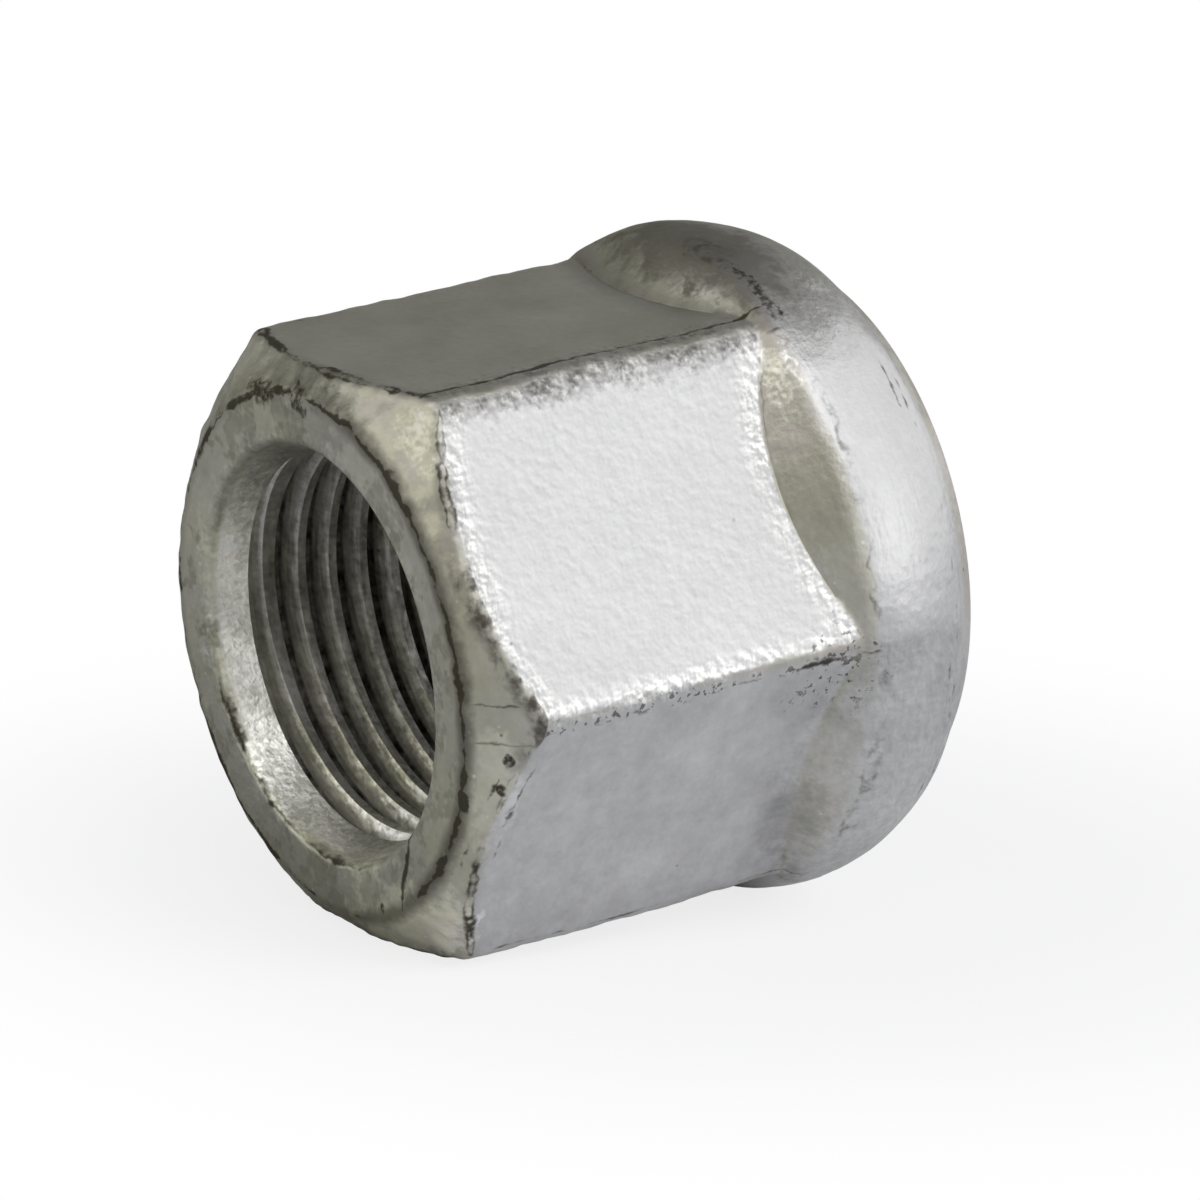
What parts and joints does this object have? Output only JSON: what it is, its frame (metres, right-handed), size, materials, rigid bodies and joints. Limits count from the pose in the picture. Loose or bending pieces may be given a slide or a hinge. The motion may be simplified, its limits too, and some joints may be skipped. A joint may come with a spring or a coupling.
{
  "type": "wheel nut",
  "caption": "Hexagon wheel nut with a through thread, a chamfered wrench end and a domed collar that carries a ball seat.",
  "frame": {"origin": "on the thread axis, in the plane where the ball seat leaves the collar", "axes": "+Y along the thread axis towards the ball seat, the wrench end faces -Y; +Z square to one flat of the hexagon, X through two of its corners"},
  "size_m": [0.0282, 0.0244, 0.0282],
  "materials": {
    "zinc_steel": "semi-matte zinc-plated steel, forged grain on the hexagon and turned marks on the collar"
  },
  "bodies": {
    "root": {"wheel_nut": "zinc_steel"}
  },
  "joints": []
}
